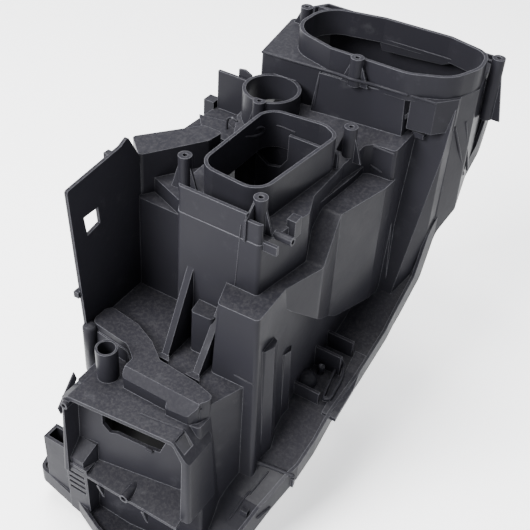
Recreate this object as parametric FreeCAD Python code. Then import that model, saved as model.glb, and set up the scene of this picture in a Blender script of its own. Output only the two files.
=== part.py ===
import FreeCAD, Part
import math
import os

# Moulded plastic housing: one thin-walled shell, open below, standing on its flange.
# Sizes are in millimetres. X runs across, Y along the length and Z up from the floor.
# Places are measured from the upright axis of the middle collar, at floor level.

V = FreeCAD.Vector

# Wall, draft and rounding shared by all towers
wall = 2.5
draft = 0.012
corner_radius = 3.0
least_radius = 1.0
edge_share = 0.45
least_turn = 0.3
overlap = 1.0
far = 300.0
place_digits = 3

# Level of the foot, and levels of the tops
base_z = -50.0
shelf_z = 101.0
platform_rise = 6.0
short_block_z = 137.0
side_pocket_z = 163.0
ledge_z = 180.0
tray_z = 204.0
rail_z = 213.0
middle_rim_z = 230.0
tray_back_z = 213.5
tray_low = min(tray_z, tray_back_z)
rear_top_z = 245.0
rear_rim_z = 262.0

# Flange: its outline from above and its lower edge seen from the right
flange_plan = [(-96, -148), (-58, -150), (-36, -157), (0, -163), (32, -155), (55, -130),
               (66, -106), (73, -90), (81, -70), (83, -50), (83, 70), (86, 112), (90, 170),
               (89, 189), (-60, 189), (-102, 120), (-105, -30), (-104, -120)]
flange_profile = [(-240, -50), (-130, -50), (-104, -20), (-90, -2), (-70, 17), (-26, 39), (14, 42),
                  (60, 54), (78, 66), (104, 88), (117, 126), (174, 174), (183, 198), (188, 246),
                  (188, 340), (-240, 340)]
flange_front_profile = [(-150, -22), (-96, -28), (-58, -40), (-22, -50), (150, -50), (150, 340),
                        (-150, 340)]
flange_corner = 6.0
profile_radius = 12.0
flange_height = 10.0
deck_thickness = 2.5
rim_rise = 3.0
skirt_plan = [(-140, -200), (38, -200), (38, 114), (-140, 114)]

# Near block: body, raised platform and the stepped, chamfered front
near_plan = [(-80, -97), (-44, -101), (-34, -109), (-31, -117), (28, -117), (32.5, -104),
             (41, -81), (43, 60), (-80, 60)]
near_draft = 0.04
platform_plan = [(-79, -96), (-44, -100), (-33, -108.5), (-30, -116), (28, -116), (33, -106),
                 (14, -101.5), (-17, -99), (-32, -88), (-50, -80), (-79, -76)]
platform_radius = 6.0
band_plan = [(-33, -121.5), (5.5, -121.5), (5.5, -124.5), (23, -123.5), (28, -118), (28, -104),
             (-33, -104)]
band_profile = [(-116.5, 107), (-125, 96), (-125, 80), (-104, 80), (-104, 107)]
front_wall_plan = [(-62, -134.6), (31.5, -121.6), (31.5, -90), (-62, -90)]
front_wall_z = 90.0
front_wall_lean = 0.06

# Lower tower under the side pocket
lower_plan = [(9, -58), (16.5, -81), (47, -80), (45, -40), (44, 5), (44, 60), (-20, 60)]
lower_draft = 0.045
short_plan = [(-13, -50), (-9.5, -74), (8, -73), (4, -50)]

# Flutes on the right wall of the lower tower: outlines from above at their tops
flutes = [([(44, -77), (50, -73), (52.5, -66), (51, -60), (44, -56)], 132.0),
          ([(43, -48), (49, -44), (50.5, -38), (48, -33), (43, -30)], 104.0)]
flute_draft = 0.03

# Middle tower under the tray, with the lip along its front
middle_plan = [(-29, -60), (22, -60), (33, -60), (38, -30), (41, -12), (34, 6), (33, 48), (37, 72),
               (42, 75.5), (59, 76.5), (60.5, 90), (60.5, 125), (-40, 125), (-58, 96), (-60, 56),
               (-47, 30), (-45, -34)]
tray_profile = [(-100, -99), (130, -99), (130, tray_back_z), (90, tray_back_z), (44, tray_z),
                (-100, tray_z)]
lip_setback = 0.4
lip_rise = 20.0
low_lip_rise = 15.5
lip_step_x = 22.0
lip_end_y = -57.0

# Two triangular ribs on the front of the middle tower
rib_xs = (-19.0, 8.5)
rib_tops = (167.0, 152.0)
rib_foot_ys = (-92.0, -95.0)
rib_thickness = 5.0
rib_wall_y = -58.0
rib_foot_side = 6.0
rib_foot_z = 104.0

# Scroll on the right side: outline from above and profile from the right
scroll_plan = [(30, -58), (41, -58), (55, -11), (49, 20), (60, 66), (61, 84), (30, 84)]
scroll_profile = [(-58, 163), (-36, 138), (0, 106), (28, 86), (84, 78), (84, 186),
                  (20, 186), (-11, 163)]
scroll_edge = 6.0

# Rear tower with the groove and the step box on its front, and the body below it
rear_plan = [(-61, 87.5), (-11, 90), (53.5, 96.3), (54.5, 112), (73, 113), (84, 113), (91, 134),
             (87, 160), (84, 174), (-48, 171), (-70, 146)]
apron_plan = [(-13, 88.4), (52, 94.6), (52, 104), (-13, 104)]
apron_draft = 0.09
apron_z = 243.0
step_box_plan = [(56, 95.8), (74, 98.2), (85, 112), (85, 118), (56, 118)]
step_box_bottom = 219.0
pillar_plan = [(60, 76), (70.5, 76), (84, 104), (88, 158), (60, 158)]
pillar_profile = [(76, 60), (150, 60), (150, 238), (111, 238)]
body_plan = [(-97, -17), (-46, -37), (30, -30), (38, 60), (38, 125), (64, 150), (64, 167),
             (-46, 167), (-91, 108)]
body_z = 192.0
body_draft = 0.015

# Left side: ledge, diagonal rail, shoulder, plates and the tall thin wing
ledge_plan = [(-80, -38), (-40, -38), (-40, 20), (-80, 20)]
rail_plan = [(-80, -35), (-52, 8), (-50, 22), (-66, 22), (-98, -19)]
shoulder_plan = [(-96, 52), (-60, 52), (-60, 92), (-94, 92)]
shoulder_z = 178.0
plate_left = -91.0
plate_right = -64.0
plate_y = 76.0
plate_z = 224.0
plate_root = 30.0
post_plan = [(-101, 72), (-92, 72), (-92, 81), (-101, 81)]
post_bottom = 120.0
post_top = 198.0
fin_plan = [(-94, 56), (-84, 44), (-70, 38), (-54, 38), (-56, 52), (-72, 60)]
fin_z = 195.0
wing_x = -80.0
wing_profile = [(-99, 84), (-30, 84), (-34, 212), (-45, 232.5), (-53, 229), (-106, 224)]
wing_hole = [(-91, 180), (-78, 182.5), (-79, 196), (-93, 196)]
wing_radius = 2.0

# Collars: outlines from above, rounding, and depth below the top that carries them
middle_collar_plan = [(-29.5, -40), (21, -44), (30, 43), (16, 51), (-29, 46)]
middle_collar_radius = 15.0
rear_collar_plan = [(-47, 104), (-8, 92.5), (52, 93), (80, 106), (90.5, 132), (87, 156),
                    (54, 163.5), (2, 161), (-44, 150)]
rear_collar_radius = 26.0
collar_cut = 20.0
round_collar_x = -39.7
round_collar_y = 69.0
round_collar_d = 42.5
round_collar_bottom = 186.0
round_duct_bottom = 156.0
partition_y = 42.0
partition_outline = [(-34, 110), (32, 110), (31, 216), (-8, 216), (-8, 196), (-14, 187),
                     (-24, 185), (-34, 192)]

# Screw bosses: X, Y, level of the top, level of the foot
boss_d = 9.5
screw_hole_d = 3.4
screw_hole_depth = 16.0
gusset_thickness = 1.6
gusset_reach = 6.0
gusset_share = 0.9
boss_sink = 2.0
tray_foot = tray_low - boss_sink
rear_foot = rear_top_z - boss_sink
side_foot = 212.0
bosses = [(-40.2, -36.8, 230.2, tray_foot), (24.3, -47, 230.6, tray_foot),
          (30.5, 59.3, 229.4, tray_foot), (-37.0, 48.0, 231.0, tray_foot),
          (-56, 143, 260.3, rear_foot), (15, 89.3, 264, rear_foot),
          (93.5, 156, 260.7, side_foot)]

# Shroud on the near end: outlines from above and from the front, opening, floor and slots
shroud_plan = [(-63, -149), (35, -139.5), (35, -112), (-63, -112)]
shroud_lean = 0.04
shroud_roof_z = 90.5
shroud_corner = 4.0
shroud_opening_corner = 3.0
shroud_outline = [(-70, 11), (40, 14), (40, 68), (24, shroud_roof_z), (-57, shroud_roof_z),
                  (-66, 84), (-70, 70)]
shroud_opening = [(-61, 0), (31, 0), (31, 74), (24, 87.5), (-55, 87.5), (-61, 78)]
shroud_floor_profile = [(-150, 11), (-120, 22.5), (-120, 25), (-150, 13.5)]
slot_outline = [(-42, 74), (-42, 58), (-36, 51.5), (-31, 53.5), (-8, 51.5), (3, 52), (8, 66),
                (8, 78)]
slot_corner = 2.0
slot_front = -138.0
slot_back = -112.0
clip_hole = [(24, -139), (31, -138), (31, -128), (24, -128)]
clip_hole_z = 70.0
louvre_count = 5
louvre_left = -64.0
louvre_right = -49.0
louvre_box_right = -46.5
louvre_box_front = -150.0
louvre_first_z = -12.0
louvre_pitch = 6.0
louvre_gap = 3.0
louvre_box_back = -130.0
louvre_box_z = 18.0
pin_x = -11.5
pin_z = 15.0
pin_d = 7.0
pin_front = -152.0
pin_back = -128.0
spike_xs = (-36.0, 3.5)
spike_outline = [(-152, 12), (-146, 12), (-147, -6)]
spike_thickness = 2.0
bracket_plan = [(-61, -149), (-50, -149), (-46, -138), (-46, -132), (-61, -132)]
bracket_profile = [(-151, 8), (-130, 8), (-130, 36), (-138, 36), (-151, 22)]
ring_post_x = -58.5
ring_post_z = 83.0
ring_post_d = 6.0
ring_post_length = 9.0

# Upright tube beside the shroud, and the open box on its left
tube_x = -47.0
tube_y = -118.0
tube_d = 15.5
tube_wall = 1.6
tube_sink = 6.5
tube_foot = shroud_roof_z - tube_sink
tube_top = 117.0
side_box_plan = [(-87, -148), (-64, -148), (-64, -134), (-87, -134)]
side_box_foot = -30.0
side_box_z = 28.0

# Channel between the wall and the right flange: cross ribs (Y, level) and cross bar
channel_left = 42.0
channel_right = 70.0
channel_rib_height = 35.0
channel_ribs = [(6.0, 70.0), (25.0, 70.0), (-26.0, 60.0)]
cross_bar_y = -75.0
cross_bar_z = 21.0
cross_bar_foot = 4.0
cross_bar_right = 81.0

# Pad on the right flange, with an oblong rim beside it
pad_plan = [(76.5, -31), (88, -31), (86, 0), (80, 30), (71, 30)]
pad_rise = 2.0
slot_rim_plan = [(71, -21), (77, -19.5), (75, 0), (70, 14), (64, 16.5)]
slot_rim_rise = 4.0

# Clip on the right wall of the middle tower: plate, pin and block
clip_plate = [30.0, 43.5, -57.0, -54.5, tray_z - 5, tray_z + 1.5]
clip_pin_x = 34.0
clip_pin_y = -44.0
clip_pin_z = tray_z
clip_pin_d = 6.0
clip_pin_length = 13.5
clip_block = [36.0, 42.5, -33.0, -25.0, tray_z - 8, tray_z + 6]

# Small tabs on the outside of the wing: Y, level of the middle
wing_tabs = [(-64, 226), (-101, 188), (-99, 176), (-104, 135)]
wing_tab_depth = 3.0
wing_tab_side = 5.0


def moved(points, inset):
    """Corners of a counterclockwise outline after its edges are moved inwards."""
    corners = [V(u, v, 0) for u, v in points]
    result = []
    for i, here in enumerate(corners):
        following = corners[(i + 1) % len(corners)]
        result.append(here + bisector(corners[i - 1], here, following) * inset)
    return result


def bisector(before, here, following):
    """Inward step that moves both edges of a corner by one millimetre."""
    first = (here - before).normalize()
    second = (following - here).normalize()
    normals = V(-first.y - second.y, first.x + second.x, 0)
    return normals * (1 / (1 + first.dot(second)))


def corner_arc(before, here, following, radius, inset):
    """Start, middle and end of the arc that rounds one corner, or the corner itself if sharp."""
    first = (here - before).normalize()
    second = (following - here).normalize()
    side = 1 if first.cross(second).z > 0 else -1
    turn = first.getAngle(second)
    if turn < least_turn or radius == 0:
        return here, here, here
    half_turn = math.tan(turn / 2)
    longest = edge_share * min((here - before).Length, (following - here).Length) / half_turn
    bend = min(radius - side * inset, longest)
    if bend < least_radius:
        return here, here, here
    step = bisector(before, here, following) * (side * bend)
    middle = here + step - V(step).normalize() * bend
    return here - first * (bend * half_turn), middle, here + second * (bend * half_turn)


def outline(points, radius, inset, place):
    """Closed wire along a counterclockwise outline, moved inwards and rounded."""
    corners = moved(points, inset)
    arcs = []
    for i, here in enumerate(corners):
        following = corners[(i + 1) % len(corners)]
        arcs.append(corner_arc(corners[i - 1], here, following, radius, inset))
    edges = []
    for i, (start, middle, end) in enumerate(arcs):
        next_start = arcs[(i + 1) % len(arcs)][0]
        if start != end:
            edges.append(Part.Arc(place(start), place(middle), place(end)).toShape())
        edges.append(Part.makeLine(place(end), place(next_start)))
    return Part.Wire(edges)


def level(z):
    """Placer that lays an outline seen from above at one level."""
    return lambda p: V(p.x, p.y, z)


def fair_radius(points, i):
    """Rounding of one corner: less beside short edges, none where the outline barely turns."""
    before, here, following = (V(*points[k % len(points)], 0) for k in (i - 1, i, i + 1))
    shortest = min((here - before).Length, (following - here).Length)
    turn = (here - before).getAngle(following - here)
    if turn < least_turn:
        return 0
    return min(corner_radius, edge_share * shortest / math.tan(turn / 2))


def tower(points, bottom, top, slope=draft, inset=0.0, rounding=True):
    """Drafted tower whose outline is given at its top; hollows are left sharp."""
    low = [level(bottom)(p) for p in moved(points, inset - (top - bottom) * slope)]
    high = [level(top)(p) for p in moved(points, inset)]
    rings = [low[::-1], high]
    for i, here in enumerate(low):
        j = (i + 1) % len(low)
        rings.append([here, low[j], high[j], high[i]])
    solid = Part.Solid(Part.Shell([Part.Face(Part.makePolygon(r + r[:1])) for r in rings]))
    if inset:
        rounding = False
    rounded = [i for i in range(len(low)) if rounding and fair_radius(points, i)]
    for i in rounded:
        middle = (low[i] + high[i]) * 0.5
        edges = [e for e in solid.Edges if e.CenterOfMass.isEqual(middle, 0.001)]
        solid = solid.makeFillet(fair_radius(points, i), edges)
    return solid


def prism(points, bottom, top, radius=corner_radius, inset=0.0):
    """Upright prism between two levels."""
    face = Part.Face(outline(points, radius, inset, level(bottom)))
    return face.extrude(V(0, 0, top - bottom))


def side_prism(points, left, right, radius=corner_radius, inset=0.0):
    """Prism along X whose outline is seen from the right."""
    face = Part.Face(outline(points, radius, inset, lambda p: V(left, p.x, p.y)))
    return face.extrude(V(right - left, 0, 0))


def front_prism(points, front, back, radius=corner_radius, inset=0.0):
    """Prism along Y whose outline is seen from the front."""
    face = Part.Face(outline(points, radius, inset, lambda p: V(p.x, front, p.y)))
    return face.extrude(V(0, back - front, 0))


def box(left, right, front, back, bottom, top):
    """Square block between three pairs of planes."""
    return Part.makeBox(right - left, back - front, top - bottom, V(left, front, bottom))


def ring(points, bottom, top, radius, setback, thickness):
    """Upright wall along an outline."""
    outer = prism(points, bottom, top, radius, setback)
    inner = prism(points, bottom - overlap, top + overlap, radius, setback + thickness)
    return outer.cut(inner)


def fuse(shapes):
    """One shape from shapes that overlap."""
    return shapes[0].multiFuse(shapes[1:])


def scroll(inset):
    """Bulging side form, bounded by its plan and by its curved profile."""
    plan = prism(scroll_plan, 0, rear_rim_z, scroll_edge, inset)
    return plan.common(side_prism(scroll_profile, 0, rear_rim_z, scroll_edge, inset))


def pillar(inset):
    """Corner pillar of the rear tower, leaning forward towards its foot."""
    plan = prism(pillar_plan, pillar_profile[0][1] - overlap, rear_top_z, corner_radius, inset)
    return plan.common(side_prism(pillar_profile, -far, far, corner_radius, inset))


def middle_tower(inset):
    """Middle tower, whose tray climbs at the back to the foot of the rear tower."""
    floor = base_z - overlap if inset else base_z
    block = tower(middle_plan, floor, max(tray_z, tray_back_z), draft, inset)
    return block.common(side_prism(tray_profile, -far, far, 0, inset))


def near_front(inset):
    """Stepped, chamfered band along the front edge of the platform."""
    block = prism(band_plan, shelf_z / 2, shelf_z + platform_rise, corner_radius, inset)
    return block.common(side_prism(band_profile, -far, far, 0, inset))


def masses(inset):
    """The towers of the shell, or with an inset the hollows inside them."""
    floor = base_z - overlap if inset else base_z
    plain = [(near_plan, shelf_z, near_draft), (lower_plan, side_pocket_z, lower_draft),
             (short_plan, short_block_z, draft),
             (rear_plan, rear_top_z, draft), (body_plan, body_z, body_draft),
             (ledge_plan, ledge_z, draft), (rail_plan, rail_z, draft),
             (shoulder_plan, shoulder_z, draft), (front_wall_plan, front_wall_z, front_wall_lean)]
    forms = [tower(plan, floor, top - inset, slope, inset) for plan, top, slope in plain]
    forms += [tower(plan, floor, top - inset, flute_draft, inset, False) for plan, top in flutes]
    forms.append(tower(apron_plan, floor, apron_z - inset, apron_draft, inset, False))
    forms.append(prism(platform_plan, shelf_z / 2, shelf_z + platform_rise - inset,
                       platform_radius, inset))
    forms.append(scroll(inset))
    forms.append(pillar(inset))
    forms.append(middle_tower(inset))
    forms.append(near_front(inset))
    forms.append(prism(step_box_plan, step_box_bottom + inset, rear_top_z - inset, 0, inset))
    return fuse(forms)


def above_flange(rise):
    """All the space above the lower edge of the flange, or a distance higher."""
    beside = side_prism(flange_profile, -far, far, profile_radius, rise)
    before = front_prism(flange_front_profile, -far, far, profile_radius, rise)
    return beside.common(before)


def flange_slab(low, high):
    """Curved slab that follows the flange, between two distances from its lower edge."""
    return above_flange(low).cut(above_flange(high))


def flange():
    """Deck with a raised rim along its edge."""
    low = base_z - overlap
    outer = prism(flange_plan, low, rear_top_z, flange_corner)
    deck = outer.common(flange_slab(flange_height - deck_thickness, flange_height))
    edge = ring(flange_plan, low, rear_top_z, flange_corner, 0, wall)
    return [deck, edge.common(flange_slab(0, flange_height + rim_rise))]


def boss(x, y, top, foot):
    """Screw boss with gussets at its foot."""
    height = top - foot
    post = Part.makeCylinder(boss_d / 2, height, V(x, y, foot))
    reach = boss_d / 2 + gusset_reach
    core = boss_d / 2 - gusset_thickness
    gusset = Part.makePolygon([V(-reach, 0, 0), V(reach, 0, 0), V(core, 0, height * gusset_share),
                               V(-core, 0, height * gusset_share), V(-reach, 0, 0)])
    plate = Part.Face(gusset).extrude(V(0, gusset_thickness, 0))
    plate.translate(V(x, y - gusset_thickness / 2, foot))
    return post.fuse(plate)


def screw_hole(x, y, top):
    """Blind core hole of a screw boss."""
    return Part.makeCylinder(screw_hole_d / 2, screw_hole_depth + overlap,
                             V(x, y, top - screw_hole_depth))


def rib(x, top, foot_y):
    """Triangular rib between the tower front and the shelf."""
    points = [V(x, rib_wall_y, shelf_z - wall), V(x, foot_y, shelf_z - wall),
              V(x, foot_y, shelf_z), V(x, rib_wall_y, top)]
    face = Part.Face(Part.makePolygon(points + points[:1]))
    plate = face.extrude(V(rib_thickness, 0, 0))
    plate.translate(V(-rib_thickness / 2, 0, 0))
    corners = [(x - rib_foot_side, foot_y - wall), (x + rib_foot_side, foot_y - wall),
               (x, foot_y + rib_foot_side)]
    return plate.fuse(prism(corners, shelf_z - wall, rib_foot_z, 0))


def shroud():
    """Open frame on the near end, with a louvred box under its left end."""
    frame = tower(shroud_plan, 0, shelf_z, shroud_lean)
    frame = frame.common(front_prism(shroud_outline, -far, far, shroud_corner))
    frame = frame.cut(front_prism(shroud_opening, -far, far, shroud_opening_corner))
    frame = frame.cut(prism(clip_hole, clip_hole_z, shelf_z, 0))
    return frame.fuse([shroud_floor(), louvre_box()])


def shroud_floor():
    """Sloping floor of the shroud with a hollow pin on it and two spikes below its edge."""
    left = shroud_opening[0][0]
    right = shroud_opening[1][0]
    floor = side_prism(shroud_floor_profile, left - overlap, right + overlap, 0)
    pin = Part.makeCylinder(pin_d / 2, pin_back - pin_front, V(pin_x, pin_front, pin_z), V(0, 1, 0))
    bore = Part.makeCylinder(pin_d / 2 - wall / 2, ring_post_length, V(pin_x, pin_front, pin_z),
                             V(0, 1, 0))
    spikes = [side_prism(spike_outline, x, x + spike_thickness, 0) for x in spike_xs]
    bracket = prism(bracket_plan, 0, shelf_z, 0)
    bracket = bracket.common(side_prism(bracket_profile, -far, far, 0))
    post = Part.makeCylinder(ring_post_d / 2, ring_post_length,
                             V(ring_post_x, pin_front, ring_post_z), V(0, 1, 0))
    post_bore = Part.makeCylinder(ring_post_d / 2 - wall / 2, ring_post_length / 2,
                                  V(ring_post_x, pin_front, ring_post_z), V(0, 1, 0))
    return floor.fuse([pin, bracket, post] + spikes).cut(bore.fuse(post_bore))


def louvre_box():
    """Box under the left end of the shroud with slots across its front."""
    left = shroud_plan[0][0] - wall
    block = box(left, louvre_box_right, louvre_box_front, louvre_box_back, base_z, louvre_box_z)
    inside = box(left + wall, louvre_box_right - wall, louvre_box_front + wall, louvre_box_back,
                 base_z - overlap, louvre_box_z - wall)
    slots = [inside]
    for i in range(louvre_count):
        z = louvre_first_z + i * louvre_pitch
        slots.append(box(louvre_left, louvre_right, louvre_box_front - overlap,
                         louvre_box_front + wall + overlap, z, z + louvre_gap))
    return block.cut(fuse(slots))


def flange_pads():
    """Raised pad and oblong rim that follow the deck of the right flange."""
    pad = prism(pad_plan, base_z, rear_top_z, 0)
    rim = ring(slot_rim_plan, base_z, rear_top_z, 0, 0, wall / 2)
    return [pad.common(flange_slab(flange_height - overlap, flange_height + pad_rise)),
            rim.common(flange_slab(flange_height - overlap, flange_height + slot_rim_rise))]


def clip():
    """Plate, hollow pin and block beside the front boss."""
    start = V(clip_pin_x, clip_pin_y, clip_pin_z)
    pin = Part.makeCylinder(clip_pin_d / 2, clip_pin_length, start, V(1, 0, 0))
    hollow = Part.makeCylinder(clip_pin_d / 2 - wall / 2, clip_pin_length,
                               start + V(wall * 2, 0, 0), V(1, 0, 0))
    return [box(*clip_plate), pin.cut(hollow), box(*clip_block)]


def collar(points, radius, carrier, rim):
    """Collar around an opening, from just below its carrier to the rim."""
    return prism(points, carrier - wall - overlap, rim, radius)


def additions():
    """All that stands on or beside the towers."""
    parts = flange()
    parts.append(collar(middle_collar_plan, middle_collar_radius, tray_low, middle_rim_z))
    parts.append(collar(rear_collar_plan, rear_collar_radius, rear_top_z, rear_rim_z))
    parts.append(Part.makeCylinder(round_collar_d / 2, middle_rim_z - round_collar_bottom,
                                   V(round_collar_x, round_collar_y, round_collar_bottom)))
    lip = ring(middle_plan, tray_z - wall, tray_z + lip_rise, corner_radius, lip_setback, wall)
    tall = box(-far, lip_step_x, -far, lip_end_y, tray_z - wall, tray_z + lip_rise)
    low = box(lip_step_x, far, -far, lip_end_y, tray_z - wall, tray_z + low_lip_rise)
    parts.append(lip.common(tall.fuse(low)))
    parts.append(box(plate_left, plate_right, plate_y, plate_y + wall, shoulder_z - plate_root, plate_z))
    parts.append(prism(post_plan, post_bottom, post_top, 0))
    parts.append(prism(fin_plan, fin_z - wall, fin_z, 0))
    parts.append(side_prism(wing_profile, wing_x - wall, wing_x, wing_radius))
    parts += [rib(x, top, foot) for x, top, foot in zip(rib_xs, rib_tops, rib_foot_ys)]
    parts += [boss(*place) for place in bosses]
    parts.append(shroud())
    parts.append(Part.makeCylinder(tube_d / 2, tube_top - tube_foot, V(tube_x, tube_y, tube_foot)))
    parts.append(ring(side_box_plan, side_box_foot, side_box_z, 0, 0, wall))
    for y, z in channel_ribs:
        parts.append(box(channel_left, channel_right, y, y + wall, z - channel_rib_height, z))
    parts.append(box(channel_left, cross_bar_right, cross_bar_y, cross_bar_y + wall,
                     cross_bar_foot, cross_bar_z))
    parts += flange_pads()
    parts += clip()
    for y, z in wing_tabs:
        parts.append(box(wing_x - wall - wing_tab_depth, wing_x - wall / 2, y, y + wing_tab_side,
                         z - wing_tab_side / 2, z + wing_tab_side / 2))
    return parts


def openings():
    """All that is cut through the finished shell."""
    cuts = []
    cuts.append(prism(middle_collar_plan, tray_z - collar_cut, middle_rim_z + overlap,
                      middle_collar_radius, wall))
    cuts.append(prism(rear_collar_plan, rear_top_z - collar_cut, rear_rim_z + overlap,
                      rear_collar_radius, wall))
    cuts.append(Part.makeCylinder(round_collar_d / 2 - wall, middle_rim_z - round_duct_bottom + 2 * overlap,
                                  V(round_collar_x, round_collar_y, round_duct_bottom)))
    cuts.append(side_prism(wing_hole, wing_x - 2 * wall, wing_x + overlap, 0))
    cuts.append(front_prism(slot_outline, slot_front, slot_back, slot_corner))
    cuts += [screw_hole(x, y, top) for x, y, top, foot in bosses]
    cuts.append(Part.makeCylinder(tube_d / 2 - tube_wall, tube_top - tube_foot,
                                  V(tube_x, tube_y, tube_foot + wall)))
    return fuse(cuts)


def housing():
    """The whole moulding."""
    outer = fuse([masses(0)] + additions())
    shell = outer.cut(masses(wall))
    shell = shell.cut(openings())
    above = side_prism(flange_profile, -far, far, profile_radius)
    above = above.fuse(prism(skirt_plan, base_z, rear_top_z, 0))
    above = above.common(front_prism(flange_front_profile, -far, far, profile_radius))
    partition = front_prism(partition_outline, partition_y, partition_y + wall, 0)
    shell = shell.fuse(partition)
    return shell.common(above)


def centred(shape):
    """The shape with its origin at the middle of the bottom of its bounding box."""
    bounds = shape.optimalBoundingBox(False, False)
    moved_shape = shape.copy()
    middle = [(low + high) / 2 for low, high in ((bounds.XMin, bounds.XMax),
                                                 (bounds.YMin, bounds.YMax))]
    moved_shape.translate(-V(*[round(value, place_digits) for value in middle + [bounds.ZMin]]))
    return moved_shape


os.makedirs("parts", exist_ok=True)
centred(housing()).exportStep("parts/moulded_housing.step")
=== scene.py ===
# %% [markdown]
# # A black moulded housing on a white floor
#
# This notebook dresses the moulded plastic housing and lights it like a product photograph.
# Cycles works the picture out. The steps are the frame, the camera, the plastic, the added
# details, the floor and the lights. Lengths are in metres, and named values hold every size.
#
# ## Step 1: the frame
#
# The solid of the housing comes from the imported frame. It is one moulding, so there is one node.

# %% Load the frame
import math

import bpy
import numpy as np
from mathutils import Matrix, Vector


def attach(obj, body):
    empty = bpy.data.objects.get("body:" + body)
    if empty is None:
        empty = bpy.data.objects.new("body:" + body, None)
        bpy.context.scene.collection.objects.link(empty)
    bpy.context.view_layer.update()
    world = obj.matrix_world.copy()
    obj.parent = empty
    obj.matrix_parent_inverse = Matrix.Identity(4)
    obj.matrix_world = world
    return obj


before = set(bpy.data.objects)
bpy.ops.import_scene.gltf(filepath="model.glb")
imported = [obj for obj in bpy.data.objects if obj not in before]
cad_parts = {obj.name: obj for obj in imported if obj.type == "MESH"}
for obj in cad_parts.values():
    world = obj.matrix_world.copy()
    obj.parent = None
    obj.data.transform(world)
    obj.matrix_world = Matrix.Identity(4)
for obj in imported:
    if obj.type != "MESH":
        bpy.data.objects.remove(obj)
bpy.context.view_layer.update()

NODE = "moulded_housing"
BODY = "root"
MM = 0.001
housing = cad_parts[NODE]

# %% [markdown]
# ## Step 2: the camera
#
# The photograph looks down on the near end from the right. Its angles were worked out from the
# upright edges and from the rims of the collars. The azimuth turns the view to the left of +Y,
# the dip tips it down, and the roll turns it about its own axis.

# %% Camera
CAMERA_PLACE = (0.26077, -0.46476, 0.62673)
CAMERA_AZIMUTH = math.radians(29.6)
CAMERA_DIP = math.radians(40.5)
CAMERA_ROLL = math.radians(3.8)
FOCAL_PIXELS = 950.0
PICTURE_PIXELS = 530.0
SENSOR = 36.0
NEAREST_SEEN, FARTHEST_SEEN = 0.01, 20.0


def camera_axes(azimuth, dip, roll):
    """Right, up and backward axes of a camera.

    Without roll, the right axis is level and the up axis is square to it and to the look.
    The roll then turns both about the line of sight by the cosine and the sine of its angle.
    """
    ahead = Vector((-math.sin(azimuth), math.cos(azimuth), 0.0))
    look = ahead * math.cos(dip) - Vector((0.0, 0.0, 1.0)) * math.sin(dip)
    right = look.cross(Vector((0.0, 0.0, 1.0))).normalized()
    up = right.cross(look)
    turned_right = right * math.cos(roll) + up * math.sin(roll)
    turned_up = up * math.cos(roll) - right * math.sin(roll)
    return turned_right, turned_up, -look


def add_camera():
    """Camera at the photograph's place, as the scene's camera."""
    data = bpy.data.cameras.new("photo_camera")
    data.sensor_width = SENSOR
    data.lens = SENSOR * FOCAL_PIXELS / PICTURE_PIXELS
    data.clip_start = NEAREST_SEEN
    data.clip_end = FARTHEST_SEEN
    camera = bpy.data.objects.new("photo_camera", data)
    turn = Matrix(camera_axes(CAMERA_AZIMUTH, CAMERA_DIP, CAMERA_ROLL)).transposed()
    camera.matrix_world = Matrix.Translation(CAMERA_PLACE) @ turn.to_4x4()
    bpy.context.scene.collection.objects.link(camera)
    bpy.context.scene.camera = camera
    return camera


camera = add_camera()
print("camera lens", round(camera.data.lens, 2), "mm")

# %% [markdown]
# ## Step 3: the black plastic
#
# Moulded polypropylene is nearly black, with a satin skin. Four effects make it look real:
# a fine spark grain in the normal, soft flow marks in the roughness, grey scuffs, and a little
# pale dust that settles on faces that look up. A small bevel in the shader rounds the edges,
# and where its normal leaves the face's own, a painted highlight makes the plastic paler on the
# rims.

# %% Node helpers
def link(tree, source, output, target, socket):
    """Joins an output of one shader node to an input of another."""
    tree.links.new(source.outputs[output], target.inputs[socket])


def add_node(tree, kind, **values):
    """Shader node with the constants of its own sockets set by name."""
    node = tree.nodes.new(kind)
    for name, value in values.items():
        node.inputs[name.replace("_", " ")].default_value = value
    return node


def noise(tree, place, scale, detail, roughness=0.5):
    """Noise read at Object coordinates."""
    node = add_node(tree, "ShaderNodeTexNoise", Scale=scale, Detail=detail, Roughness=roughness)
    link(tree, place, "Object", node, "Vector")
    return node


def remap(tree, source, output, given, wanted):
    """Value moved from a given range to the wanted one, and held within it."""
    node = tree.nodes.new("ShaderNodeMapRange")
    for side, value in zip(("From Min", "From Max", "To Min", "To Max"), given + wanted):
        node.inputs[side].default_value = value
    link(tree, source, output, node, "Value")
    return node


def multiply(tree, first, second):
    """Product of the results of two range nodes."""
    node = tree.nodes.new("ShaderNodeMath")
    node.operation = "MULTIPLY"
    link(tree, first, "Result", node, 0)
    link(tree, second, "Result", node, 1)
    return node


def paint_over(tree, base, colour, factor, output):
    """Colour laid over a base, a colour or the node that gives it, by a factor from 0 to 1."""
    node = tree.nodes.new("ShaderNodeMix")
    node.data_type = "RGBA"
    if isinstance(base, tuple):
        node.inputs["A"].default_value = base
    else:
        tree.links.new(base.outputs["Result"], node.inputs["A"])
    node.inputs["B"].default_value = colour
    link(tree, factor, output, node, "Factor")
    return node


print("helpers ready")

# %% The plastic material
PLASTIC = (0.0118, 0.0116, 0.0145, 1.0)
SCUFF = (0.075, 0.076, 0.082, 1.0)
DUST = (0.30, 0.29, 0.28, 1.0)
# The pale colour painted along the edges as a highlight.
EDGE_HIGHLIGHT = (0.095, 0.095, 0.105, 1.0)
REFRACTION, GLOSS = 1.49, 0.05
ROUGHNESS = (0.29, 0.45)
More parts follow.
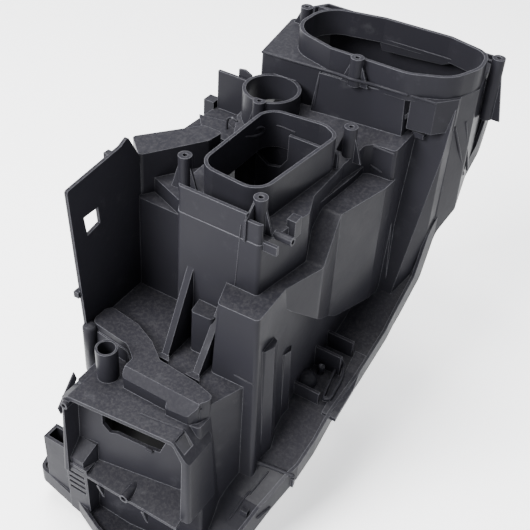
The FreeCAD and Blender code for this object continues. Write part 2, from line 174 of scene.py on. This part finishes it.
# Each pattern has its scale, its detail and its roughness.
GRAIN = (2600.0, 2.0, 0.5)
SKIN = (190.0, 4.0, 0.6)
FLOW = (28.0, 5.0, 0.62)
PATCHES = (55.0, 8.0, 0.72)
SPECKS = (420.0, 6.0, 0.8)
GRAIN_STRENGTH, GRAIN_DEPTH = 0.5, 0.00002
SKIN_STRENGTH, SKIN_DEPTH = 0.22, 0.0004
# Each pair of ranges says which part of a pattern counts, and how much of it shows.
FLOW_SPREAD = (0.3, 0.7)
SCUFF_RANGES = (0.58, 0.80), (0.0, 0.22)
SPECK_RANGES = (0.45, 0.85), (0.0, 0.09)
UPWARD_RANGES = (0.35, 1.0), (0.0, 1.0)
# Painted edge highlight: the first range is how far an edge bends, the second is how much
# highlight shows.
EDGE_HIGHLIGHT_RANGES = (0.97, 0.78), (0.0, 1.0)
UNEVEN_RANGES = (0.25, 0.65), (0.45, 1.0)
EDGE_ROUNDING, EDGE_SAMPLES = 0.0006, 4
EDGE_REACH, REACH_SAMPLES = 0.0010, 6


def plastic_material(name):
    """Satin black plastic with grain, flow marks, scuffs, dust, rounded edges and a painted edge
    highlight.
    """
    material = bpy.data.materials.new(name)
    material.use_nodes = True
    tree = material.node_tree
    tree.nodes.clear()
    place = tree.nodes.new("ShaderNodeTexCoord")
    shape = tree.nodes.new("ShaderNodeNewGeometry")
    shader = add_node(tree, "ShaderNodeBsdfPrincipled", IOR=REFRACTION, Specular_IOR_Level=GLOSS)
    out = tree.nodes.new("ShaderNodeOutputMaterial")
    link(tree, shader, "BSDF", out, "Surface")

    # The normal: rounded edges, then the spark grain, then slow waves in the skin.
    rounded = add_node(tree, "ShaderNodeBevel", Radius=EDGE_ROUNDING)
    rounded.samples = EDGE_SAMPLES
    bump = add_node(tree, "ShaderNodeBump", Strength=GRAIN_STRENGTH, Distance=GRAIN_DEPTH)
    link(tree, noise(tree, place, *GRAIN), "Fac", bump, "Height")
    link(tree, rounded, "Normal", bump, "Normal")
    waves = add_node(tree, "ShaderNodeBump", Strength=SKIN_STRENGTH, Distance=SKIN_DEPTH)
    link(tree, noise(tree, place, *SKIN), "Fac", waves, "Height")
    link(tree, bump, "Normal", waves, "Normal")
    link(tree, waves, "Normal", shader, "Normal")

    # The roughness follows the flow of the melt.
    flow = noise(tree, place, *FLOW)
    spread = remap(tree, flow, "Fac", FLOW_SPREAD, ROUGHNESS)
    link(tree, spread, "Result", shader, "Roughness")

    # The colour: plastic, then scuffs, dust on faces that look up, and a painted highlight on the
    # edges.
    scuffed = remap(tree, noise(tree, place, *PATCHES), "Fac", *SCUFF_RANGES)
    upward = tree.nodes.new("ShaderNodeSeparateXYZ")
    link(tree, shape, "Normal", upward, "Vector")
    facing_up = remap(tree, upward, "Z", *UPWARD_RANGES)
    speckled = remap(tree, noise(tree, place, *SPECKS), "Fac", *SPECK_RANGES)
    # Painted highlight: the colour turns paler where the wide bevel's normal leaves the face's
    # own, along every edge, varied by the flow.
    wide = add_node(tree, "ShaderNodeBevel", Radius=EDGE_REACH)
    wide.samples = REACH_SAMPLES
    meeting = tree.nodes.new("ShaderNodeVectorMath")
    meeting.operation = "DOT_PRODUCT"
    link(tree, wide, "Normal", meeting, 0)
    link(tree, shape, "True Normal", meeting, 1)
    edge_highlight = remap(tree, meeting, "Value", *EDGE_HIGHLIGHT_RANGES)
    uneven = remap(tree, flow, "Fac", *UNEVEN_RANGES)

    worn = paint_over(tree, PLASTIC, SCUFF, scuffed, "Result")
    dusty = paint_over(tree, worn, DUST, multiply(tree, facing_up, speckled), "Value")
    highlighted = paint_over(tree, dusty, EDGE_HIGHLIGHT, multiply(tree, edge_highlight, uneven), "Value")
    link(tree, highlighted, "Result", shader, "Base Color")
    return material


plastic = plastic_material("black_plastic_skin")
housing.data.materials.clear()
housing.data.materials.append(plastic)
print("material", plastic.name, "with", len(plastic.node_tree.nodes), "nodes")

# %% [markdown]
# ## Step 4: helpers for the small details
#
# Beads, pins and little plates stand on the housing. Each is a closed surface worked out with
# arrays, in millimetres from the upright axis of the middle collar, as they were measured.

# %% Surfaces from arrays
COLLAR_AXIS = np.array([0.375, -12.51, 50.0])
TUBE_SIDES = 12
PATH_STEPS = 6
END_ANGLES = np.radians([30.0, 60.0, 80.0])
STEEP = 0.9
LATHE_SIDES = 40
PLATE_ROUNDING, ROUNDING_STEPS = 0.0003, 2


def smooth_path(corners, closed=False):
    """Catmull-Rom curve through corners.

    Between b and c, with a before and d after, a point is half of
    2 b + (c - a) t + (2 a - 5 b + 4 c - d) t^2 + (3 b - a - 3 c + d) t^3, with t from 0 to 1.
    """
    corners = np.asarray(corners, float)
    if closed:
        before, start = np.roll(corners, 1, axis=0), corners
        end, after = np.roll(corners, -1, axis=0), np.roll(corners, -2, axis=0)
    else:
        first, last = 2 * corners[0] - corners[1], 2 * corners[-1] - corners[-2]
        padded = np.vstack([first, corners, last])
        before, start, end, after = padded[:-3], padded[1:-2], padded[2:-1], padded[3:]
    t = (np.arange(PATH_STEPS) / PATH_STEPS)[None, :, None]
    a, b, c, d = (group[:, None, :] for group in (before, start, end, after))
    cubic = (3 * b - a - 3 * c + d) * t ** 3
    path = 0.5 * (2 * b + (c - a) * t + (2 * a - 5 * b + 4 * c - d) * t ** 2 + cubic)
    path = path.reshape(-1, 3)
    return path if closed else np.vstack([path, corners[-1]])


def path_axes(path, closed):
    """Direction along a path at each point, and the two directions square to it.

    The direction is p(i + 1) - p(i - 1), side is direction x up, and over is side x direction.
    A path with a steep stretch takes the X axis in place of up.
    """
    if closed:
        along = np.roll(path, -1, axis=0) - np.roll(path, 1, axis=0)
    else:
        along = np.gradient(path, axis=0)
    along /= np.linalg.norm(along, axis=1, keepdims=True)
    steep = np.abs(along[:, 2]).max() > STEEP
    reference = np.array([1.0, 0.0, 0.0]) if steep else np.array([0.0, 0.0, 1.0])
    side = np.cross(along, reference)
    side /= np.linalg.norm(side, axis=1, keepdims=True)
    return along, side, np.cross(side, along)


def tube_rings(path, radius, closed=False):
    """Rings of points around a path: centre + r (cos q side + sin q over), q from 0 to 2 pi.

    Each open end gets smaller rings, r cos w wide and r sin w further out, for a round end.
    """
    along, side, over = path_axes(path, closed)
    centre, reach = path, np.full(len(path), float(radius))
    if not closed:
        out = radius * np.sin(END_ANGLES)[:, None]
        narrow = radius * np.cos(END_ANGLES)
        centre = np.vstack([(path[0] - along[0] * out)[::-1], path, path[-1] + along[-1] * out])
        reach = np.concatenate([narrow[::-1], reach, narrow])
        extra = len(END_ANGLES)
        side, over = (np.pad(axis, ((extra, extra), (0, 0)), mode="edge")
                      for axis in (side, over))
    q = np.linspace(0.0, 2 * np.pi, TUBE_SIDES, endpoint=False)
    turn = np.cos(q)[None, :, None] * side[:, None] + np.sin(q)[None, :, None] * over[:, None]
    return centre[:, None] + reach[:, None, None] * turn


def ring_faces(count, sides, closed):
    """Four-sided faces between neighbouring rings, with a cap on each open end."""
    i = np.arange(count if closed else count - 1)[:, None]
    j = np.arange(sides)[None, :]
    following, beside = (i + 1) % count, (j + 1) % sides
    quads = np.stack([i * sides + j, i * sides + beside, following * sides + beside,
                      following * sides + j], axis=-1).reshape(-1, 4)
    faces = quads.tolist()
    if not closed:
        faces.append(np.arange(sides)[::-1].tolist())
        faces.append((np.arange(sides) + (count - 1) * sides).tolist())
    return faces


def outward(points, faces):
    """Faces turned so that the volume, the sum of a . (b x c) / 6 over triangles, is positive."""
    volume = 0.0
    for face in faces:
        a, b, c = points[face[0]], points[face[1:-1]], points[face[2:]]
        volume += float((a * np.cross(b, c)).sum())
    return faces if volume > 0 else [face[::-1] for face in faces]


def add_piece(name, points, faces, smooth):
    """Closed surface in millimetres from the collar's axis, as a piece of black plastic."""
    points = np.asarray(points, float)
    faces = outward(points - points.mean(axis=0), faces)
    mesh = bpy.data.meshes.new(name)
    mesh.from_pydata(((points + COLLAR_AXIS) * MM).tolist(), [], faces)
    mesh.materials.append(plastic)
    mesh.polygons.foreach_set("use_smooth", np.full(len(faces), smooth))
    piece = bpy.data.objects.new(name, mesh)
    bpy.context.scene.collection.objects.link(piece)
    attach(piece, BODY)
    return piece


def add_bead(name, radius, corners, closed=False):
    """Round moulded bead along a smooth path."""
    rings = tube_rings(smooth_path(corners, closed), radius, closed)
    add_piece(name, rings.reshape(-1, 3), ring_faces(len(rings), TUBE_SIDES, closed), True)


def add_plate(name, outline, thickness):
    """Flat plate with rounded edges: an outline in space and its copy a thickness away."""
    low = np.asarray(outline, float)
    high = low + np.asarray(thickness, float)
    count = len(low)
    i = np.arange(count)
    sides = np.column_stack([i, (i + 1) % count, (i + 1) % count + count, i + count]).tolist()
    faces = sides + [i[::-1].tolist(), (i + count).tolist()]
    piece = add_piece(name, np.vstack([low, high]), faces, False)
    bevel = piece.modifiers.new("rounding", "BEVEL")
    bevel.width = PLATE_ROUNDING
    bevel.segments = ROUNDING_STEPS
    bevel.limit_method = "ANGLE"


def add_block(name, low, high):
    """Square block between two corners."""
    (x0, y0, z0), (x1, y1, z1) = low, high
    outline = [(x0, y0, z0), (x1, y0, z0), (x1, y1, z0), (x0, y1, z0)]
    add_plate(name, outline, (0.0, 0.0, z1 - z0))


def add_lathe(name, centre, profile):
    """Turned form: (r cos q, r sin q, h) for each radius r and height h, q from 0 to 2 pi."""
    profile = np.asarray(profile, float)
    q = np.linspace(0.0, 2 * np.pi, LATHE_SIDES, endpoint=False)
    radius, height = profile[:, :1], profile[:, 1:]
    rings = np.stack([radius * np.cos(q), radius * np.sin(q), height + 0 * q], axis=-1)
    rings += np.asarray(centre, float)
    add_piece(name, rings.reshape(-1, 3), ring_faces(len(rings), LATHE_SIDES, False), True)


print("surface helpers ready")

# %% [markdown]
# ## Step 5: beads along the edges
#
# A mould leaves a rounded bead where a ledge meets a wall. These lines shine in the photograph.
# Each bead has a radius and the corners of its path, and a loop is marked as closed.

# %% Beads
BEADS = {
    "rear_ledge_bead": (1.1, [(-60.3, 88.0, 244.3), (-44.0, 88.2, 244.8), (-29.4, 89.2, 244.9),
                              (-12.9, 90.3, 245.2), (-1.0, 90.2, 245.8), (7.0, 87.0, 247.7),
                              (14.2, 84.1, 249.2), (22.0, 87.3, 248.1), (30.0, 92.3, 246.0),
                              (43.8, 92.7, 246.2), (53.3, 93.8, 246.0)]),
    "step_box_bead": (1.0, [(56.2, 95.0, 245.4), (64.3, 96.8, 244.9), (73.2, 98.2, 244.2)]),
    "apron_side_bead": (0.7, [(-12.4, 89.4, 243.5), (-12.6, 88.0, 236.0), (-12.8, 87.1, 227.0),
                              (-13.2, 86.4, 217.0)]),
    "pocket_ledge_bead": (0.9, [(42.5, 75.2, 209.4), (50.1, 75.7, 208.8), (57.9, 76.4, 208.2)]),
    "pocket_low_bead": (0.8, [(42.6, 75.0, 193.2), (46.5, 75.3, 192.0), (50.7, 75.5, 190.5)]),
    "collar_hook": (1.0, [(-26.9, 15.2, 221.8), (-26.5, 22.0, 218.6), (-26.3, 28.5, 216.3),
                          (-26.0, 34.6, 215.3), (-25.5, 36.6, 217.8), (-26.2, 33.4, 220.6),
                          (-26.9, 29.0, 221.6)]),
    "collar_back_bead": (0.7, [(-19.5, 44.3, 219.2), (-12.5, 45.5, 218.5), (-6.0, 46.2, 217.6)]),
    "shroud_roof_bead": (0.8, [(-7.2, -132.8, 90.6), (3.8, -131.5, 90.6), (14.1, -130.0, 90.6),
                               (23.2, -128.4, 90.4)]),
    "shroud_slot_nub": (1.5, [(-6.4, -129.4, 51.0), (-4.6, -129.2, 50.8), (-2.8, -129.1, 50.6)]),
    "near_channel_bead": (1.6, [(50.5, -79.2, 25.5), (60.2, -77.4, 25.4), (69.1, -76.6, 26.0),
                                (80.6, -76.2, 27.4)]),
    "near_channel_rail": (0.9, [(55.9, -93.1, 9.0), (53.8, -99.0, 3.1), (51.7, -104.6, -4.2),
                                (49.3, -109.8, -11.0)]),
    "near_channel_rib": (0.7, [(62.4, -79.5, 22.0), (59.7, -86.7, 15.1), (57.0, -94.0, 8.2)]),
    "flange_loop": (1.1, [(71.6, -20.6, 53.4), (76.2, -19.4, 53.5), (75.6, -9.0, 54.4),
                          (74.3, 1.5, 55.2), (70.2, 12.8, 56.8), (64.9, 15.6, 57.2),
                          (66.6, 4.0, 55.6), (69.0, -9.0, 54.2)], True),
    "tower_foot_bead": (0.8, [(33.0, -82.9, 108.4), (36.3, -82.9, 108.4), (42.0, -82.8, 107.9),
                              (47.3, -82.2, 107.4)]),
    "tower_seam": (0.35, [(18.5, -59.8, 214.2), (17.6, -60.3, 190.0), (16.5, -60.7, 164.2)]),
    "ledge_bracket": (0.9, [(-66.0, 51.5, 194.6), (-65.7, 51.3, 200.0), (-64.5, 51.0, 204.6),
                            (-61.0, 50.8, 206.4), (-57.0, 50.6, 205.4)]),
    "pillar_rail_front": (1.0, [(84.9, 115.0, 221.0), (87.0, 120.0, 208.5), (88.7, 124.8, 197.5),
                                (90.0, 131.5, 184.0), (91.2, 139.4, 169.4)]),
    "pillar_rail_back": (1.0, [(88.4, 126.0, 221.0), (89.6, 130.5, 208.5), (90.4, 135.0, 196.0),
                               (91.0, 140.0, 184.0), (91.4, 146.0, 170.0)]),
    "rim_clip": (1.3, [(68.6, -100.6, -3.4), (70.2, -96.5, -1.2), (72.3, -91.6, 0.8)]),
}

for bead_name, bead_values in BEADS.items():
    add_bead(bead_name, *bead_values)
print("beads", len(BEADS))

# %% [markdown]
# ## Step 6: plates, blocks and pins
#
# These are a gusset, a flap, a curtain inside the rear collar, clips, and a pin, a stud and a
# dome in the channel. Two thin dark sheets stand inside the housing behind the middle collar and
# behind the slot of the shroud, as painted shade where there is only shade, and hide the floor.

# %% Plates and pins
PLATES = {
    "front_boss_gusset": ([(21.2, -61.0, 219.3), (21.2, -50.6, 228.6), (21.2, -50.6, 203.0),
                           (21.2, -61.0, 203.0)], (1.6, 0.0, 0.0)),
    "collar_curtain": ([(-1.4, 158.4, 246.0), (62.0, 160.2, 246.0), (60.2, 160.5, 243.5),
                        (51.0, 161.4, 238.6), (26.6, 161.2, 236.4), (2.4, 159.6, 235.6)],
                       (0.0, 2.0, 0.0)),
    "shroud_flap": ([(-68.6, -147.3, 68.6), (-68.6, -128.4, 89.0), (-66.4, -128.4, 84.0),
                     (-66.4, -147.3, 64.0)], (-1.4, 0.0, 0.0)),
    # Painted shade: a dark sheet behind the middle collar's partition, where there is only shade.
    "shade_sheet_behind_collar": ([(-54.5, 46.4, 112.0), (31.8, 46.4, 112.0), (31.8, 46.4, 203.4),
                    (-54.5, 46.4, 203.4)], (0.0, 1.6, 0.0)),
    # Painted shade: a dark sheet behind the shroud's slot, where there is only shade.
    "shade_sheet_behind_slot": ([(-83.9, -93.7, -30.0), (29.0, -93.7, -30.0), (38.6, -93.7, 20.0),
                      (35.4, -93.7, 99.4), (-79.6, -93.7, 99.4)], (0.0, 1.4, 0.0)),
    "left_plate_box": ([(-74.2, 78.2, 222.0), (-62.8, 78.2, 222.0), (-62.8, 78.2, 228.2),
                        (-68.6, 78.2, 231.0), (-74.2, 78.2, 230.0)], (0.0, 1.6, 0.0)),
}
BLOCKS = {
    "step_box_foot": ((58.8, 101.0, 211.0), (68.0, 105.2, 215.4)),
    "channel_stud": ((55.6, -105.0, -9.0), (61.6, -100.8, 0.8)),
}
LATHES = {
    "channel_pin": ((57.2, 1.5, 48.0), [(0.05, 0.0), (2.6, 0.0), (2.6, 10.0), (2.2, 10.6),
                                        (1.2, 10.6), (1.1, 7.0), (0.05, 7.0)]),
    "channel_dome": ((51.5, -12.0, 46.0), [(0.05, 0.0), (9.0, 0.0), (9.0, 5.0), (8.4, 8.4),
                                           (6.6, 11.2), (3.8, 13.0), (0.05, 13.6)]),
    "near_left_column": ((-78.6, -98.6, 62.0), [(0.05, 0.0), (5.6, 0.0), (5.4, 41.5), (4.4, 43.6),
                                                (2.4, 44.6), (0.05, 44.9)]),
}

for plate_name, plate_values in PLATES.items():
    add_plate(plate_name, *plate_values)
for block_name, block_values in BLOCKS.items():
    add_block(block_name, *block_values)
for lathe_name, lathe_values in LATHES.items():
    add_lathe(lathe_name, *lathe_values)
print("plates, blocks and pins", len(PLATES) + len(BLOCKS) + len(LATHES))

# %% [markdown]
# ## Step 7: the floor
#
# The floor is a wide, matt white sheet that the flange stands on. It glows a little, as the sheet
# of a product photograph does, which keeps its shadows pale.

# %% Floor
FLOOR_SIDE = 8.0
FLOOR_DROP = 0.0002
FLOOR_GLOW = 0.9
FLOOR_ROUGHNESS = 0.85
FLOOR_CLOUDS = (2.5, 4.0)
FLOOR_TINTS = (0.86, 0.86, 0.86, 1.0), (0.90, 0.90, 0.90, 1.0)
WHITE = (1.0, 1.0, 1.0, 1.0)


def floor_material():
    """Matt white paper with a faint unevenness."""
    material = bpy.data.materials.new("white_floor")
    material.use_nodes = True
    tree = material.node_tree
    shader = tree.nodes["Principled BSDF"]
    shader.inputs["Roughness"].default_value = FLOOR_ROUGHNESS
    shader.inputs["Emission Color"].default_value = WHITE
    shader.inputs["Emission Strength"].default_value = FLOOR_GLOW
    place = tree.nodes.new("ShaderNodeTexCoord")
    tint = paint_over(tree, *FLOOR_TINTS, noise(tree, place, *FLOOR_CLOUDS), "Fac")
    link(tree, tint, "Result", shader, "Base Color")
    return material


def add_floor():
    """One square sheet just below the housing."""
    half = FLOOR_SIDE / 2
    corners = np.array([(-half, -half), (half, -half), (half, half), (-half, half)])
    points = np.column_stack([corners, np.full(len(corners), -FLOOR_DROP)])
    mesh = bpy.data.meshes.new("floor")
    mesh.from_pydata(points.tolist(), [], [list(range(len(points)))])
    mesh.materials.append(floor_material())
    floor = bpy.data.objects.new("floor", mesh)
    bpy.context.scene.collection.objects.link(floor)


add_floor()
print("floor side", FLOOR_SIDE, "m")

# %% [markdown]
# ## Step 8: the lights
#
# A big soft light stands in front on the left, so near walls are grey, right walls are darker
# and the shadow falls to the right and back. A weaker one overhead picks out the rims. The
# surroundings are pale, so the deep places keep a little light.

# %% Lights
LIGHT_AIM = (0.0, 0.0, 0.15)
# Each light has its name, its place, its side in metres and its power in watts.
LIGHTS = [
    ("window_light", (-0.80, -1.75, 1.70), 1.2, 200.0),
    ("top_light", (-0.30, 0.10, 1.60), 0.8, 55.0),
]
SKY = (0.93, 0.95, 1.0, 1.0)
SKY_STRENGTH = 1.0


def add_light(name, place, side, power):
    """Square area light that looks from its place to the housing."""
    data = bpy.data.lights.new(name, "AREA")
    data.shape = "SQUARE"
    data.size = side
    data.energy = power
    light = bpy.data.objects.new(name, data)
    light.location = place
    ahead = Vector(LIGHT_AIM) - Vector(place)
    light.rotation_euler = ahead.to_track_quat("-Z", "Y").to_euler()
    bpy.context.scene.collection.objects.link(light)


def add_sky():
    """Even, pale surroundings."""
    world = bpy.data.worlds.new("studio")
    world.use_nodes = True
    background = world.node_tree.nodes["Background"]
    background.inputs["Color"].default_value = SKY
    background.inputs["Strength"].default_value = SKY_STRENGTH
    bpy.context.scene.world = world


for light_values in LIGHTS:
    add_light(*light_values)
add_sky()
print("lights", [values[0] for values in LIGHTS])
